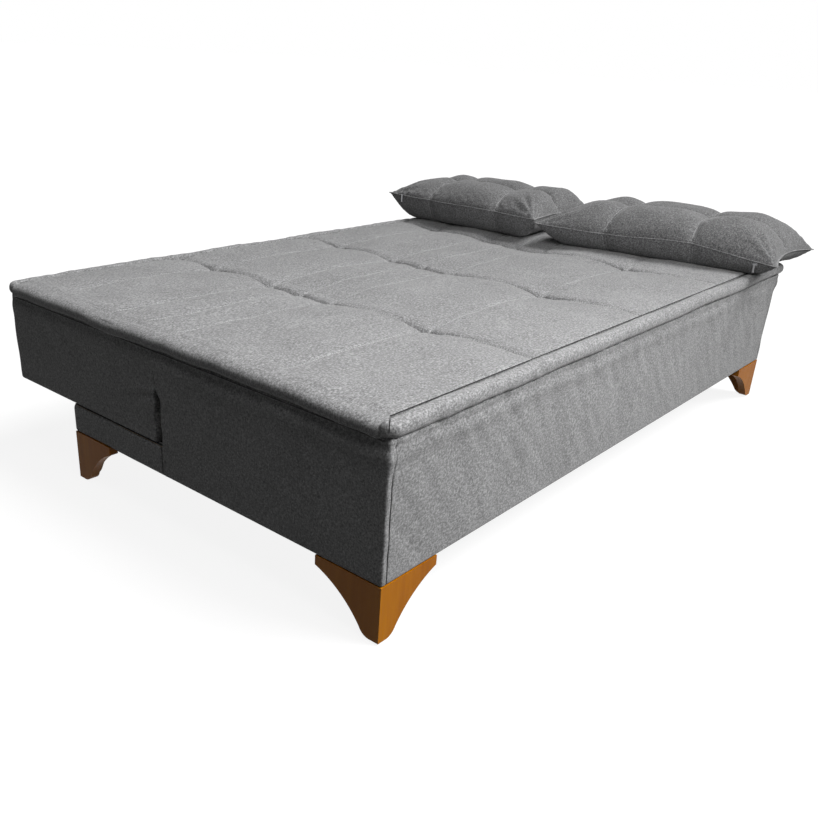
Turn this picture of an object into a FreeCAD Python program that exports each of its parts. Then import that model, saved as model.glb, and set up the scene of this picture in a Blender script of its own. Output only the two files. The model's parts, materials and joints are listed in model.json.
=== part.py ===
"""Reclining sofa bed, lying open as a bed, with its two loose pillows.

The frame: X runs along the length, Y runs from the front edge to the rear edge, Z is up from the floor.
The origin is on the floor, under the middle of everything, pillows included. Every place below is first
worked out from the near left corner of the upholstery, and moved to that origin when the piece is placed.
"""
import FreeCAD, Part

import math
import os

import Sketcher

V = FreeCAD.Vector
doc = FreeCAD.newDocument("sofa_bed")

# ---------------------------------------------------------------- driving dimensions
DIMENSIONS = {
    "origin_along": 975.0,        # from the left end of the upholstery to the origin
    "origin_deep": 584.0,         # from the front edge of the upholstery to the origin
    "bed_length": 1898.0,
    "bed_depth": 1166.0,
    "base_depth": 940.0,          # the fixed base stops short of the rear edge
    "bed_top": 430.0,
    "body_bottom": 119.0,
    "ledge_top": 188.0,           # the low rear part of the base, under the folded-down back
    "ledge_gap": 1.0,             # air between that ledge and the underside of the back
    "roll_width": 34.0,           # the stuffed roll round the edge of the mattress
    "panel_inset": 12.0,          # how far the side panels stand in from the roll
    "rear_inset": 5.0,            # and at the rear, where the back's cover bulges out
    "right_inset": 29.0,          # the same at the right end, where the cover is pulled in further
    "cover_thick": 3.0,
    "lining_thick": 2.0,
    "board_thick": 22.0,
    "board_top": 331.0,
    "webbing_thick": 3.0,
    "foam_top": 395.5,
    "hinge_room": 15.0,           # from the side boards in to the foam, to leave the hinges room
    "pivot_deep": 627.0,
    "pivot_high": 385.0,
    "crease_half": 6.0,           # half the gap between seat and back, below the pivot
    "pad_foot_gap": 12.0,         # from the pivot to the lower edge of each mattress pad
    "pad_crest_gap": 46.0,        # from the pivot to the upper edge of each mattress pad
    "seat_rear": 615.0,           # rear face of the seat box
    "leg_reach": 158.0,           # how far each leg board runs from its corner
    "rear_leg_reach": 130.0,      # the rear legs are shorter ones
    "leg_thick": 22.0,
    "leg_lip": 20.0,              # the square end of a leg board
    "leg_sweep": 11.0,            # how far the inner edge of a leg board bows in
    "foot_width": 46.0,
    "foot_flat": 18.0,            # the part of the foot that is parallel to the floor
    "foot_rise": 18.0,
    "foot_bulge": 5.0,
    "glide_high": 3.0,
    "glide_inset": 10.0,          # middle of each glide, from both outer faces of its leg
    "glide_radius": 7.0,
    "dowel_radius": 5.0,
    "dowel_long": 50.0,
    "dowel_from_end": 40.0,       # from the free end of a leg board
    "dowel_deep_in": 14.0,        # from the outer face of a leg board
    "block_wide": 60.0,
    "strip_wide": 60.0,           # one strip of webbing
    "strip_from_end": 70.0,       # from the side boards to the first strip
    "plate_thick": 4.0,
    "plate_play": 0.05,
    "bolt_radius": 4.0,
    "bolt_head_radius": 7.0,
    "bolt_head_high": 5.0,
    "nut_high": 6.0,
    "eye_radius": 10.0,
    "leaf_width": 80.0,
    "leaf_bottom": 215.0,
    "seat_leaf_gap": 48.0,        # from the pivot to each hinge leaf
    "back_leaf_gap": 48.0,
    "screw_radius": 2.5,
    "screw_long": 16.0,
    "screw_head_radius": 5.0,
    "screw_head_high": 2.0,
    "screw_from_edge": 20.0,      # screws from the front and lower edges of a leaf
    "screw_pitch_deep": 40.0,
    "screw_pitch_high": 70.0,
    "pillow_wide": 385.0,
    "pillow_thick": 138.0,
    "pillow_round": 62.0,
    "pillow_gap": 0.5,
    "front_pillow_long": 668.0,
    "front_pillow_along": 1724.0,
    "front_pillow_deep": 297.0,
    "front_pillow_turn": 6.5,     # degrees
    "rear_pillow_long": 546.0,
    "rear_pillow_along": 1654.0,
    "rear_pillow_deep": 941.0,
    "rear_pillow_turn": 1.5,      # degrees
    "front_zip_from_end": 50.0,   # where each slider rests, from its end of the pillow
    "rear_zip_from_end": 38.0,
    "front_seam_high": 40.0,      # the pillow's edge seam, above its underside
    "rear_seam_high": 76.0,
    "slider_long": 11.0,
    "slider_wide": 5.0,
    "slider_high": 7.0,
    "tab_long": 24.0,
    "tab_wide": 6.0,
    "tab_thick": 1.6,
    "bail_radius": 0.7,
    "bail_reach": 3.0,            # from the slider out to the bar that holds the tab
    "bail_half": 4.0,
    "lug_root": 1.0,
    "lug_thick": 1.2,
    "lug_high": 3.0,
    "slider_gap": 0.4,            # from the pillow to its slider
    "tab_side_play": 0.7,
    "tab_hole_play": 0.08,
}

sheet = doc.addObject("Spreadsheet::Sheet", "Dims")
for row, (name, number) in enumerate(DIMENSIONS.items(), start=1):
    sheet.set(f"A{row}", name)
    sheet.set(f"B{row}", str(number))
    sheet.setAlias(f"B{row}", name)
doc.recompute()


class Size:
    """A length that knows both its number and the sheet formula that gives it."""

    def __init__(self, number, formula):
        self.number = float(number)
        self.formula = formula

    def __add__(self, other):
        other = size(other)
        return Size(self.number + other.number, f"({self.formula} + {other.formula})")

    def __sub__(self, other):
        other = size(other)
        return Size(self.number - other.number, f"({self.formula} - {other.formula})")

    def __mul__(self, factor):
        return Size(self.number * factor, f"({self.formula} * {factor})")

    def __truediv__(self, divisor):
        return Size(self.number / divisor, f"({self.formula} / {divisor})")

    def __neg__(self):
        return Size(-self.number, f"(0 - {self.formula})")

    __radd__ = __add__
    __rmul__ = __mul__


def size(value):
    return value if isinstance(value, Size) else Size(value, str(float(value)))


class Dimensions:
    """dim.bed_length is the sheet's bed_length cell, as a Size."""

    def __getattr__(self, name):
        return Size(float(sheet.get(name)), f"Dims.{name}")


dim = Dimensions()
nodes = []


# ---------------------------------------------------------------- helpers
def bind(thing, prop, value):
    """Sets a property to a size and ties it to the sheet."""
    value = size(value)
    if "." not in prop and not prop.startswith("Constraints"):
        setattr(thing, prop, value.number)
    thing.setExpression(prop, value.formula)


def place(thing, x, y, z, turn=None, axis=V(0, 0, 1)):
    """Puts a piece at x, y, z from the near left corner, turned about an axis through its own origin."""
    angle = 0.0 if turn is None else turn
    thing.Placement = FreeCAD.Placement(V(0, 0, 0), FreeCAD.Rotation(axis, angle))
    bind(thing, "Placement.Base.x", size(x) - dim.origin_along)
    bind(thing, "Placement.Base.y", size(y) - dim.origin_deep)
    bind(thing, "Placement.Base.z", size(z))
    return thing


def node(thing, label):
    thing.Label = label
    nodes.append(thing)
    return thing


def raw_box(name, corner, extent):
    solid = doc.addObject("Part::Box", name)
    for prop, value in zip(("Length", "Width", "Height"), extent):
        bind(solid, prop, value)
    return place(solid, *corner)


def box(label, low, high):
    """A board, panel or slab between two corners."""
    extent = [size(b) - size(a) for a, b in zip(low, high)]
    return node(raw_box(label, low, extent), label)


def raw_cylinder(name, centre, radius, length, axis=V(0, 0, 1)):
    """A cylinder that starts at its centre point and runs along an axis."""
    solid = doc.addObject("Part::Cylinder", name)
    bind(solid, "Radius", radius)
    bind(solid, "Height", length)
    place(solid, *centre)
    solid.Placement.Rotation = FreeCAD.Rotation(V(0, 0, 1), axis)
    return solid


def group(label, solids):
    """Like pieces that share one node, as separate solids."""
    compound = doc.addObject("Part::Compound", label)
    compound.Links = solids
    return node(compound, label)


def cut(name, base, tool):
    result = doc.addObject("Part::Cut", name)
    result.Base = base
    result.Tool = tool
    return result


def fuse(name, solids):
    result = doc.addObject("Part::MultiFuse", name)
    result.Shapes = solids
    result.Refine = True
    return result


def fix_point(sketch, geometry, end, across, up):
    """Holds one end of a sketch line at a place given by two sizes."""
    for kind, other_axis, value in (("DistanceX", -2, size(across)), ("DistanceY", -1, size(up))):
        if abs(value.number) < 1e-9:
            sketch.addConstraint(Sketcher.Constraint("PointOnObject", geometry, end, other_axis))
        else:
            rule = Sketcher.Constraint(kind, -1, 1, geometry, end, value.number)
            number = sketch.addConstraint(rule)
            sketch.setExpression(f"Constraints[{number}]", value.formula)


def bowed_side(first, last, bulge):
    """An arc between two points that bows out by the bulge, to the right of the way it runs."""
    chord = last - first
    radius = (chord.Length ** 2 / 4 + bulge ** 2) / (2 * bulge)
    sideways = V(chord.y, -chord.x, 0).normalize()
    centre = first + chord * 0.5 + sideways * (bulge - radius)
    begin = math.atan2(first.y - centre.y, first.x - centre.x)
    end = math.atan2(last.y - centre.y, last.x - centre.x)
    return Part.ArcOfCircle(Part.Circle(centre, V(0, 0, 1), radius), begin, end), radius


def outline_sketch(body, name, plane, points, bulges=None):
    """A closed outline, anticlockwise through the points. bulges maps a side's number to how far it bows.

    A side with a bulge above 0 bows out of the outline. One below 0 bows into it.
    """
    bulges = bulges or {}
    sketch = body.newObject("Sketcher::SketchObject", name)
    origin = [f for f in body.Origin.OriginFeatures if f.Role == plane][0]
    sketch.AttachmentSupport = [(origin, "")]
    sketch.MapMode = "FlatFace"
    spots = [V(size(a).number, size(b).number, 0) for a, b in points]
    count = len(spots)
    start_end = []
    for side in range(count):
        first = spots[side]
        last = spots[(side + 1) % count]
        bulge = bulges.get(side, 0)
        if bulge == 0:
            sketch.addGeometry(Part.LineSegment(first, last), False)
            start_end.append((1, 2))
            continue
        ends = (first, last) if bulge > 0 else (last, first)
        arc, radius = bowed_side(*ends, abs(bulge))
        sketch.addGeometry(arc, False)
        sketch.addConstraint(Sketcher.Constraint("Radius", side, radius))
        start_end.append((1, 2) if bulge > 0 else (2, 1))
    for side in range(count):
        before = (side - 1) % count
        joined = (before, start_end[before][1], side, start_end[side][0])
        sketch.addConstraint(Sketcher.Constraint("Coincident", *joined))
        fix_point(sketch, side, start_end[side][0], *points[side])
    return sketch


def pad(body, name, sketch, length, reverse=False):
    feature = body.newObject("PartDesign::Pad", name)
    feature.Profile = sketch
    bind(feature, "Length", length)
    feature.Reversed = reverse
    return feature


def slab(label, points, low, length, bulges=None):
    """A prism along X, from its outline in the Y, Z plane."""
    body = doc.addObject("PartDesign::Body", label)
    sketch = outline_sketch(body, label + "_outline", "YZ_Plane", points, bulges)
    pad(body, label + "_pad", sketch, length)
    place(body, low, 0, 0)
    return node(body, label)


# ---------------------------------------------------------------- shared places
left_panel = dim.panel_inset
right_panel = dim.bed_length - dim.right_inset
left_board = left_panel + dim.cover_thick
right_board = right_panel - dim.cover_thick
left_inner = left_board + dim.board_thick
right_inner = right_board - dim.board_thick
front_panel = dim.panel_inset
front_board = front_panel + dim.cover_thick
front_inner = front_board + dim.board_thick
board_bottom = dim.body_bottom + dim.lining_thick
ledge_board_top = dim.ledge_top - dim.cover_thick
base_rear_board = dim.base_depth - dim.cover_thick
seat_rear_board = dim.seat_rear - dim.cover_thick
back_bottom = dim.ledge_top + dim.ledge_gap
back_front = dim.pivot_deep + dim.crease_half
back_rear_panel = dim.bed_depth - dim.rear_inset
back_rear_board = back_rear_panel - dim.cover_thick
back_board_bottom = back_bottom + dim.cover_thick
back_board_front = back_front + dim.cover_thick
foam_left = left_inner + dim.hinge_room
foam_right = right_inner - dim.hinge_room
middle = dim.bed_length / 2
seat_leaf = dim.pivot_deep - dim.seat_leaf_gap - dim.leaf_width
back_leaf = dim.pivot_deep + dim.back_leaf_gap


# ---------------------------------------------------------------- the base: frame
def make_base_frame():
    for side, low in (("left", left_board), ("right", right_inner)):
        points = [
            (front_board, board_bottom),
            (base_rear_board, board_bottom),
            (base_rear_board, ledge_board_top),
            (seat_rear_board, ledge_board_top),
            (seat_rear_board, dim.board_top),
            (front_board, dim.board_top),
        ]
        slab(f"base_side_board_{side}", points, low, dim.board_thick)
    box("base_front_board", (left_inner, front_board, board_bottom),
        (right_inner, front_inner, dim.board_top))
    box("seat_rear_board", (foam_left, seat_rear_board - dim.board_thick, board_bottom),
        (foam_right, seat_rear_board, dim.board_top))
    box("ledge_rear_board", (left_inner, base_rear_board - dim.board_thick, board_bottom),
        (right_inner, base_rear_board, ledge_board_top))
    box("base_middle_board", (middle - dim.board_thick / 2, front_inner, board_bottom),
        (middle + dim.board_thick / 2, seat_rear_board - dim.board_thick, dim.board_top))
    box("ledge_middle_board", (middle - dim.board_thick / 2, seat_rear_board, board_bottom),
        (middle + dim.board_thick / 2, base_rear_board - dim.board_thick, ledge_board_top))
    block = dim.block_wide
    high = ledge_board_top - board_bottom
    blocks = []
    for name, x in (("left", left_inner), ("right", right_inner - block)):
        for spot, y in (("front", front_inner), ("rear", base_rear_board - dim.board_thick - block)):
            blocks.append(raw_box(f"block_{name}_{spot}", (x, y, board_bottom), (block, block, high)))
    group("corner_blocks", blocks)


def webbing(label, low_deep, high_deep, count):
    """Elastic strips stretched from front to rear over the boards."""
    strips = []
    width = dim.strip_wide
    first = left_inner + dim.strip_from_end
    pitch = (right_inner - left_inner - dim.strip_from_end * 2 - width) / (count - 1)
    for i in range(count):
        corner = (first + pitch * i, low_deep, dim.board_top)
        strips.append(raw_box(f"{label}_{i}", corner, (width, high_deep - low_deep, dim.webbing_thick)))
    group(label, strips)


# ---------------------------------------------------------------- the base: upholstery
def make_base_upholstery():
    foam_bottom = dim.board_top + dim.webbing_thick
    box("seat_foam", (foam_left, front_board, foam_bottom), (foam_right, seat_rear_board, dim.foam_top))
    points = [
        (dim.roll_width, dim.foam_top),
        (dim.pivot_deep - dim.pad_foot_gap, dim.foam_top),
        (dim.pivot_deep - dim.pad_crest_gap, dim.bed_top),
        (dim.roll_width, dim.bed_top),
    ]
    slab("seat_pad", points, dim.roll_width, dim.bed_length - dim.roll_width * 2)
    make_roll("seat_edge_roll", dim.roll_width / 2, dim.pivot_deep - dim.pad_crest_gap)
    box("front_cover", (left_panel, front_panel, dim.body_bottom),
        (right_panel, front_board, dim.foam_top))
    box("base_lining", (left_board, front_board, dim.body_bottom),
        (right_board, base_rear_board, board_bottom))
    for side, low in (("left", left_panel), ("right", right_board)):
        high = low + dim.cover_thick
        box(f"seat_end_cover_{side}", (low, front_board, dim.body_bottom),
            (high, dim.seat_rear, dim.foam_top))
        box(f"ledge_end_cover_{side}", (low, dim.seat_rear, dim.body_bottom),
            (high, base_rear_board, dim.ledge_top))
    box("seat_rear_cover", (foam_left, seat_rear_board, dim.ledge_top),
        (foam_right, dim.seat_rear, dim.foam_top))
    box("ledge_top_cover", (left_board, seat_rear_board, ledge_board_top),
        (right_board, base_rear_board, dim.ledge_top))
    box("ledge_rear_cover", (left_panel, base_rear_board, dim.body_bottom),
        (right_panel, dim.base_depth, dim.ledge_top))


def make_roll(label, outer_deep, end_deep):
    """A stuffed roll along one long edge and both ends, as far as the crease."""
    radius = dim.roll_width / 2
    high = dim.foam_top + radius
    right = dim.bed_length - radius
    quarter = V(0, 1, 0)
    runs = [raw_cylinder(label + "_long", (radius, outer_deep, high), radius, right - radius, V(1, 0, 0))]
    reach = end_deep - outer_deep
    forward = reach.number > 0
    for name, x in (("left", radius), ("right", right)):
        start = outer_deep if forward else end_deep
        length = reach if forward else -reach
        runs.append(raw_cylinder(f"{label}_{name}", (x, start, high), radius, length, quarter))
        corner = doc.addObject("Part::Sphere", f"{label}_corner_{name}")
        bind(corner, "Radius", radius)
        place(corner, x, outer_deep, high)
        runs.append(corner)
    return node(fuse(label, runs), label)


# ---------------------------------------------------------------- legs
def make_legs():
    top = dim.body_bottom
    lip = dim.body_bottom - dim.leg_lip
    bulges = {1: DIMENSIONS["foot_bulge"], 2: -DIMENSIONS["leg_sweep"]}
    corners = {
        "front_left": (left_panel, front_panel, 0.0),
        "front_right": (right_panel, front_panel, 90.0),
        "rear_right": (right_panel, dim.base_depth, 180.0),
        "rear_left": (left_panel, dim.base_depth, 270.0),
    }
    glides = []
    dowels = []
    glide_in = DIMENSIONS["glide_inset"]
    near = DIMENSIONS["dowel_deep_in"]
    for corner, (x, y, turn) in corners.items():
        which = "rear_leg_reach" if corner.startswith("rear") else "leg_reach"
        reach = getattr(dim, which)
        far = DIMENSIONS[which] - DIMENSIONS["dowel_from_end"]
        outline = [
            (0.0, dim.glide_high),
            (dim.foot_flat, dim.glide_high),
            (dim.foot_width, dim.foot_rise),
            (reach, lip),
            (reach, top),
            (0.0, top),
        ]
        body = doc.addObject("PartDesign::Body", f"leg_{corner}")
        along = outline_sketch(body, f"leg_{corner}_along", "XZ_Plane", outline, bulges)
        pad(body, f"leg_{corner}_board_a", along, dim.leg_thick, reverse=True)
        deep = outline_sketch(body, f"leg_{corner}_deep", "YZ_Plane", outline, bulges)
        pad(body, f"leg_{corner}_board_b", deep, dim.leg_thick)
        place(body, x, y, 0, turn)
        node(body, f"leg_{corner}")
        spread = FreeCAD.Rotation(V(0, 0, 1), turn)
        shift = spread.multVec(V(glide_in, glide_in, 0))
        glides.append(raw_cylinder(f"glide_{corner}", (x + shift.x, y + shift.y, 0),
                                   dim.glide_radius, dim.glide_high))
        for across, deep_in in ((far, near), (near, far)):
            shift = spread.multVec(V(across, deep_in, 0))
            dowels.append(raw_cylinder(f"dowel_{corner}_{len(dowels)}",
                                       (x + shift.x, y + shift.y, dim.body_bottom - dim.dowel_long / 2),
                                       dim.dowel_radius, dim.dowel_long))
    group("leg_glides", glides)
    group("leg_dowels", dowels)


# ---------------------------------------------------------------- the back
def make_back_frame():
    left_stile = left_inner + dim.plate_thick + dim.plate_play
    right_stile = right_inner - dim.plate_thick - dim.plate_play
    stiles = {
        "left": (left_stile - dim.board_thick, left_stile),
        "right": (right_stile, right_stile + dim.board_thick),
        "middle": (middle - dim.board_thick / 2, middle + dim.board_thick / 2),
    }
    board_rear = back_rear_board - dim.board_thick
    board_front = back_board_front + dim.board_thick
    for side, (low, high) in stiles.items():
        box(f"back_stile_{side}", (low, board_front, back_board_bottom),
            (high, board_rear, dim.board_top))
    box("back_lower_rail", (left_board + 3.0, back_board_front, back_board_bottom),
        (right_board - 3.0, board_front, dim.board_top))
    box("back_upper_rail", (left_board + 3.0, board_rear, back_board_bottom),
        (right_board - 3.0, back_rear_board, dim.board_top))


def make_back_upholstery():
    foam_bottom = dim.board_top + dim.webbing_thick
    box("back_foam", (foam_left, back_board_front, foam_bottom), (foam_right, back_rear_board, dim.foam_top))
    points = [
        (dim.pivot_deep + dim.pad_foot_gap, dim.foam_top),
        (dim.bed_depth - dim.roll_width, dim.foam_top),
        (dim.bed_depth - dim.roll_width, dim.bed_top),
        (dim.pivot_deep + dim.pad_crest_gap, dim.bed_top),
    ]
    slab("back_pad", points, dim.roll_width, dim.bed_length - dim.roll_width * 2)
    make_roll("back_edge_roll", dim.bed_depth - dim.roll_width / 2, dim.pivot_deep + dim.pad_crest_gap)
    for side, low in (("left", left_panel), ("right", right_board)):
        box(f"back_end_cover_{side}", (low, back_front, back_bottom),
            (low + dim.cover_thick, back_rear_panel, dim.foam_top))
    box("back_rear_cover", (left_board, back_rear_board, back_bottom),
        (right_board, back_rear_panel, dim.foam_top))
    box("back_under_cover", (left_board, back_board_front, back_bottom),
        (right_board, back_rear_board, back_board_bottom))
    box("back_inner_cover", (left_board, back_front, back_bottom),
        (right_board, back_board_front, foam_bottom))


# ---------------------------------------------------------------- hinges
def hinge_plate(label, low, leaf_low, leaf_high, reach_low):
    """A steel leaf screwed to a board, with an arm up to an eye round the pivot."""
    eye = dim.eye_radius
    leaf = raw_box(label + "_leaf", (low, leaf_low, dim.leaf_bottom),
                   (dim.plate_thick, leaf_high - leaf_low, dim.pivot_high + eye - dim.leaf_bottom))
    arm_low = dim.pivot_deep if reach_low else leaf_high
    arm_high = leaf_low if reach_low else dim.pivot_deep
    arm = raw_box(label + "_arm", (low, arm_low, dim.pivot_high - eye),
                  (dim.plate_thick, arm_high - arm_low, eye * 2))
    ring = raw_cylinder(label + "_eye", (low, dim.pivot_deep, dim.pivot_high), eye,
                        dim.plate_thick, V(1, 0, 0))
    return fuse(label + "_solid", [leaf, arm, ring])


def make_hinges():
    plate = dim.plate_thick
    for side in ("left", "right"):
        on_left = side == "left"
        fixed_low = left_inner if on_left else right_inner - plate
        moving_low = left_inner + plate + dim.plate_play
        if not on_left:
            moving_low = right_inner - plate * 2 - dim.plate_play
        fixed = hinge_plate(f"hinge_fixed_{side}", fixed_low, seat_leaf,
                            seat_leaf + dim.leaf_width, False)
        moving = hinge_plate(f"hinge_moving_{side}", moving_low, back_leaf,
                             back_leaf + dim.leaf_width, True)
        bolt_low = size(fixed_low) - dim.bolt_head_high if on_left else moving_low - dim.nut_high
        centre = (bolt_low, dim.pivot_deep, dim.pivot_high)
        length = dim.bolt_head_high + plate * 2 + dim.plate_play + dim.nut_high
        for name, solid, play in (("fixed", fixed, 0.0), ("moving", moving, dim.plate_play)):
            drill = raw_cylinder(f"drill_{name}_{side}", centre, dim.bolt_radius + play, length, V(1, 0, 0))
            node(cut(f"hinge_{name}_{side}", solid, drill), f"hinge_{name}_{side}")
        shank = raw_cylinder(f"shank_{side}", centre, dim.bolt_radius, length, V(1, 0, 0))
        head_low = bolt_low if on_left else bolt_low + length - dim.bolt_head_high
        head = raw_cylinder(f"head_{side}", (head_low, dim.pivot_deep, dim.pivot_high),
                            dim.bolt_head_radius, dim.bolt_head_high, V(1, 0, 0))
        node(fuse(f"pivot_bolt_{side}", [shank, head]), f"pivot_bolt_{side}")
        nut_low = bolt_low + length - dim.nut_high if on_left else bolt_low
        hexagon = doc.addObject("Part::Prism", f"nut_body_{side}")
        hexagon.Polygon = 6
        bind(hexagon, "Circumradius", dim.bolt_head_radius)
        bind(hexagon, "Height", dim.nut_high - dim.plate_play)
        shift = dim.plate_play if on_left else size(0)
        place(hexagon, nut_low + shift, dim.pivot_deep, dim.pivot_high)
        hexagon.Placement.Rotation = FreeCAD.Rotation(V(0, 0, 1), V(1, 0, 0))
        thread = raw_cylinder(f"nut_thread_{side}", centre, dim.bolt_radius, length, V(1, 0, 0))
        node(cut(f"pivot_nut_{side}", hexagon, thread), f"pivot_nut_{side}")


def make_hinge_screws():
    low_screw = dim.leaf_bottom + dim.screw_from_edge
    for name, first, inward in (("seat", seat_leaf, 0), ("back", back_leaf, 1)):
        screws = []
        for side in ("left", "right"):
            on_left = side == "left"
            stack = dim.plate_thick * (1 + inward) + dim.plate_play * inward
            face = left_inner + stack if on_left else right_inner - stack
            for deep in (dim.screw_from_edge, dim.screw_from_edge + dim.screw_pitch_deep):
                for high in (low_screw, low_screw + dim.screw_pitch_high):
                    count = len(screws)
                    y = first + deep
                    shank_low = face - dim.screw_long if on_left else face
                    head_low = face if on_left else face - dim.screw_head_high
                    shank = raw_cylinder(f"{name}_shank_{count}", (shank_low, y, high),
                                         dim.screw_radius, dim.screw_long, V(1, 0, 0))
                    head = raw_cylinder(f"{name}_head_{count}", (head_low, y, high),
                                        dim.screw_head_radius, dim.screw_head_high, V(1, 0, 0))
                    screws.append(fuse(f"{name}_screw_{count}", [shank, head]))
        group(f"{name}_hinge_screws", screws)


# ---------------------------------------------------------------- pillows
def turned(centre_along, centre_deep, turn, across, along_pillow):
    """A place given from a pillow's middle, in the pillow's own turned directions."""
    angle = math.radians(turn)
    shift_x = across * math.cos(angle) - along_pillow * math.sin(angle)
    shift_y = across * math.sin(angle) + along_pillow * math.cos(angle)
    return centre_along + shift_x, centre_deep + shift_y


def make_pillow(name, which, zip_sign):
    """A pillow lying on the bed, with its zip slider and pull tab at the seam of its near edge."""
    long = getattr(dim, which + "_pillow_long")
    along = getattr(dim, which + "_pillow_along")
    deep = getattr(dim, which + "_pillow_deep")
    turn = DIMENSIONS[which + "_pillow_turn"]
    half_wide = DIMENSIONS["pillow_wide"] / 2
    x, y = turned(along, deep, turn, -half_wide, -long.number / 2)
    bottom = dim.bed_top + dim.pillow_gap
    block = doc.addObject("Part::Box", name + "_block")
    for prop, value in zip(("Length", "Width", "Height"), (dim.pillow_wide, long, dim.pillow_thick)):
        bind(block, prop, value)
    place(block, x, y, bottom, turn)
    doc.recompute()
    rounded = doc.addObject("Part::Fillet", name)
    rounded.Base = block
    radius = DIMENSIONS["pillow_round"]
    rounded.Edges = [(i + 1, radius, radius) for i in range(len(block.Shape.Edges))]
    node(rounded, name)

    seam = bottom + getattr(dim, which + "_seam_high")
    zip_spot = zip_sign * (long.number / 2 - DIMENSIONS[which + "_zip_from_end"])
    wide = DIMENSIONS["slider_wide"]
    length = DIMENSIONS["slider_long"]
    outside = -half_wide - DIMENSIONS["slider_gap"] - wide
    sx, sy = turned(along, deep, turn, outside, zip_spot - length / 2)
    slider = doc.addObject("Part::Box", f"{name}_slider_block")
    for prop, value in zip(("Length", "Width", "Height"),
                           (dim.slider_wide, dim.slider_long, dim.slider_high)):
        bind(slider, prop, value)
    place(slider, sx, sy, seam - dim.slider_high / 2, turn)
    bail_reach = DIMENSIONS["bail_reach"]
    bail_half = DIMENSIONS["bail_half"]
    lug_root = DIMENSIONS["lug_root"]
    lugs = []
    for end in (-bail_half, bail_half - DIMENSIONS["lug_thick"]):
        lx, ly = turned(along, deep, turn, outside - bail_reach - lug_root, zip_spot + end)
        lug = doc.addObject("Part::Box", f"{name}_lug_{len(lugs)}")
        for prop, value in zip(("Length", "Width", "Height"),
                               (dim.bail_reach + dim.lug_root, dim.lug_thick, dim.lug_high)):
            bind(lug, prop, value)
        lugs.append(place(lug, lx, ly, seam - dim.lug_high / 2, turn))
    bx, by = turned(along, deep, turn, outside - bail_reach, zip_spot - bail_half)
    bar = doc.addObject("Part::Cylinder", f"{name}_bail")
    bind(bar, "Radius", dim.bail_radius)
    bind(bar, "Height", dim.bail_half * 2)
    place(bar, bx, by, seam)
    way = V(-math.sin(math.radians(turn)), math.cos(math.radians(turn)), 0)
    bar.Placement.Rotation = FreeCAD.Rotation(V(0, 0, 1), way)
    node(fuse(f"{name}_zip_slider", [slider, bar] + lugs), f"{name}_zip_slider")

    half_tab = DIMENSIONS["tab_wide"] / 2 - DIMENSIONS["tab_side_play"]
    half_thick = DIMENSIONS["tab_thick"]
    tx, ty = turned(along, deep, turn, outside - bail_reach - half_thick, zip_spot - half_tab)
    tab = doc.addObject("Part::Box", f"{name}_tab")
    for prop, value in zip(("Length", "Width", "Height"), (dim.tab_thick * 2, half_tab * 2, dim.tab_long)):
        bind(tab, prop, value)
    place(tab, tx, ty, seam + half_thick - dim.tab_long, turn)
    hole = doc.addObject("Part::Cylinder", f"{name}_tab_hole")
    bind(hole, "Radius", dim.bail_radius + dim.tab_hole_play)
    bind(hole, "Height", dim.bail_half * 2)
    place(hole, bx, by, seam)
    hole.Placement.Rotation = FreeCAD.Rotation(V(0, 0, 1), way)
    node(cut(f"{name}_zip_tab", tab, hole), f"{name}_zip_tab")


# ---------------------------------------------------------------- making, checking and writing
make_base_frame()
webbing("seat_webbing", front_board, seat_rear_board, 7)
make_base_upholstery()
make_legs()
make_back_frame()
webbing("back_webbing", back_board_front, back_rear_board, 7)
make_back_upholstery()
make_hinges()
make_hinge_screws()
make_pillow("pillow_front", "front", -1)
make_pillow("pillow_rear", "rear", 1)
doc.recompute()

for thing in doc.Objects:
    if "Invalid" in thing.State or "Error" in thing.State:
        raise RuntimeError(f"{thing.Label} failed: {thing.State}")

os.makedirs("parts", exist_ok=True)
whole = FreeCAD.BoundBox()
for thing in nodes:
    shape = thing.Shape
    if shape.isNull() or not shape.isValid():
        raise RuntimeError(f"{thing.Label} has no sound shape")
    shape.exportStep(f"parts/{thing.Label}.step")
    whole.add(shape.BoundBox)
print(len(nodes), "nodes", whole)
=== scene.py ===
"""Looks of the reclining sofa bed: mattress, edge roll, covers, pillows, stitching, materials and light."""

import json
import math

import bmesh
import bpy
import numpy as np
from mathutils import Matrix, Vector


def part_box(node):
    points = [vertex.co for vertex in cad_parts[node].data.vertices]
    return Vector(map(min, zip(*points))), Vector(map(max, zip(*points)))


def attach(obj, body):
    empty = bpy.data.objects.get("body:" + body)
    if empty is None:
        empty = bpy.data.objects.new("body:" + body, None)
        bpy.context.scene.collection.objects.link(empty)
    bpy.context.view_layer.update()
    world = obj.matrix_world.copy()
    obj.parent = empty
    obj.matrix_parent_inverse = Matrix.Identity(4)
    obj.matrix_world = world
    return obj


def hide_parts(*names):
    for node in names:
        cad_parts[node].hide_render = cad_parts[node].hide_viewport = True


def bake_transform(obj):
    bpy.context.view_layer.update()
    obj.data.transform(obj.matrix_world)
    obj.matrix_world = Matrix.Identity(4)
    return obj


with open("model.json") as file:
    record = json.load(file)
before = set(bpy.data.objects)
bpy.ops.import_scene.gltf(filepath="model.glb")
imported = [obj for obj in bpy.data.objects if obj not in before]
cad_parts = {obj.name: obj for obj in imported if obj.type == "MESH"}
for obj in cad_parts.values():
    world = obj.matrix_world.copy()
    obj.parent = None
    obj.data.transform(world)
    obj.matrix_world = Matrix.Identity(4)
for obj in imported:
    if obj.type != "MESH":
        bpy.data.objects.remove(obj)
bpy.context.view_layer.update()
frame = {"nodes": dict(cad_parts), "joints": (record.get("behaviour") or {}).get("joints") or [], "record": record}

# ---------------------------------------------------------------- places, from the frame
LEFT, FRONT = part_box("seat_edge_roll")[0][:2]
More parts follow.
